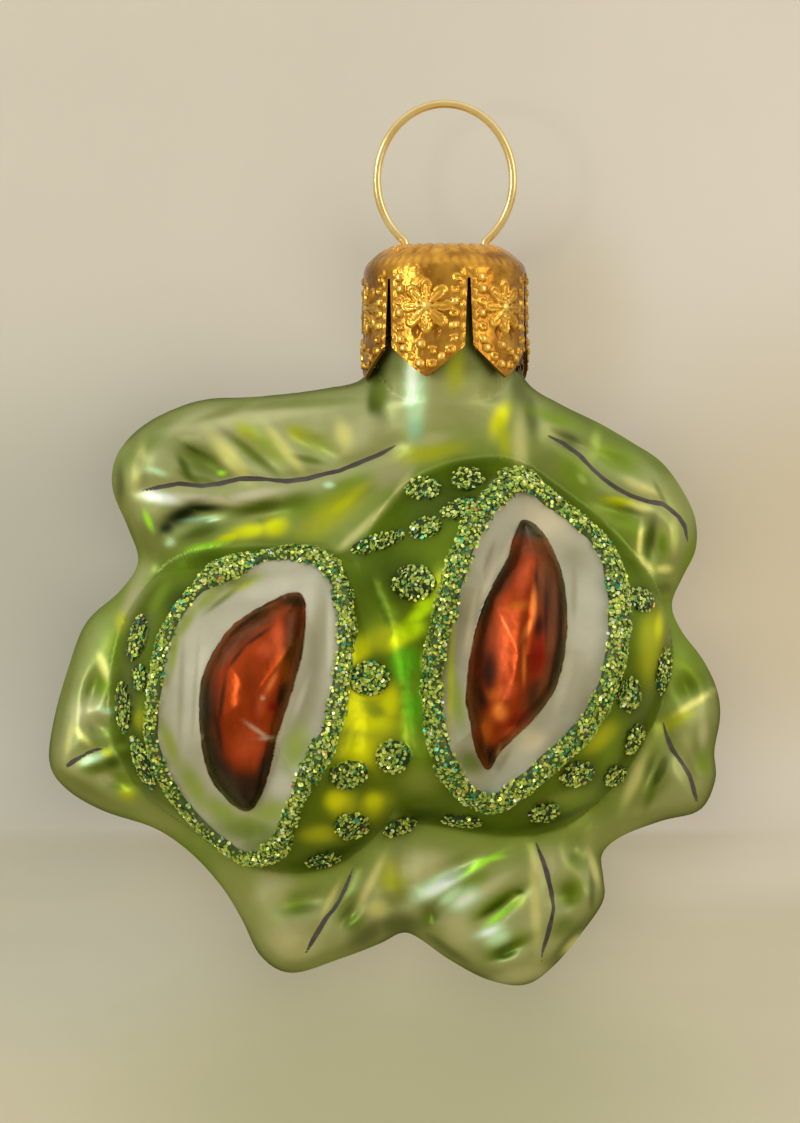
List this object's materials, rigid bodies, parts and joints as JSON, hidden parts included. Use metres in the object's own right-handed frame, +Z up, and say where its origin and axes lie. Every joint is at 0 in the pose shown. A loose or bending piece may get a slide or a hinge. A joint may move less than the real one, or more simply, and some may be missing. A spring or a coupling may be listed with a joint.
{
  "type": "glass ornament of two chestnut burrs",
  "caption": "Blown-glass hanging ornament: open chestnut burrs on a rosette of leaves, with glitter, a gold cap and a wire loop.",
  "frame": {"origin": "inner top of the wire loop, where a hook carries the ornament", "axes": "+Z up, +Y towards the back, -Y towards the viewer (the side with the opened burrs), X across the wire loop"},
  "size_m": [0.0568, 0.0274, 0.0752],
  "materials": {
    "lacquered_glass": "silvered inside, painted with satin green lacquer, white enamel and glossy red-brown",
    "gold_sheet": "embossed, bright",
    "gold_wire": "drawn, bright",
    "glitter": "green and gold glitter flakes in clear glue"
  },
  "bodies": {
    "root": {"glass_body": "lacquered_glass", "cap": "gold_sheet", "wire_hanger": "gold_wire", "glitter_ring_left": "glitter", "glitter_ring_right": "glitter"}
  },
  "joints": []
}
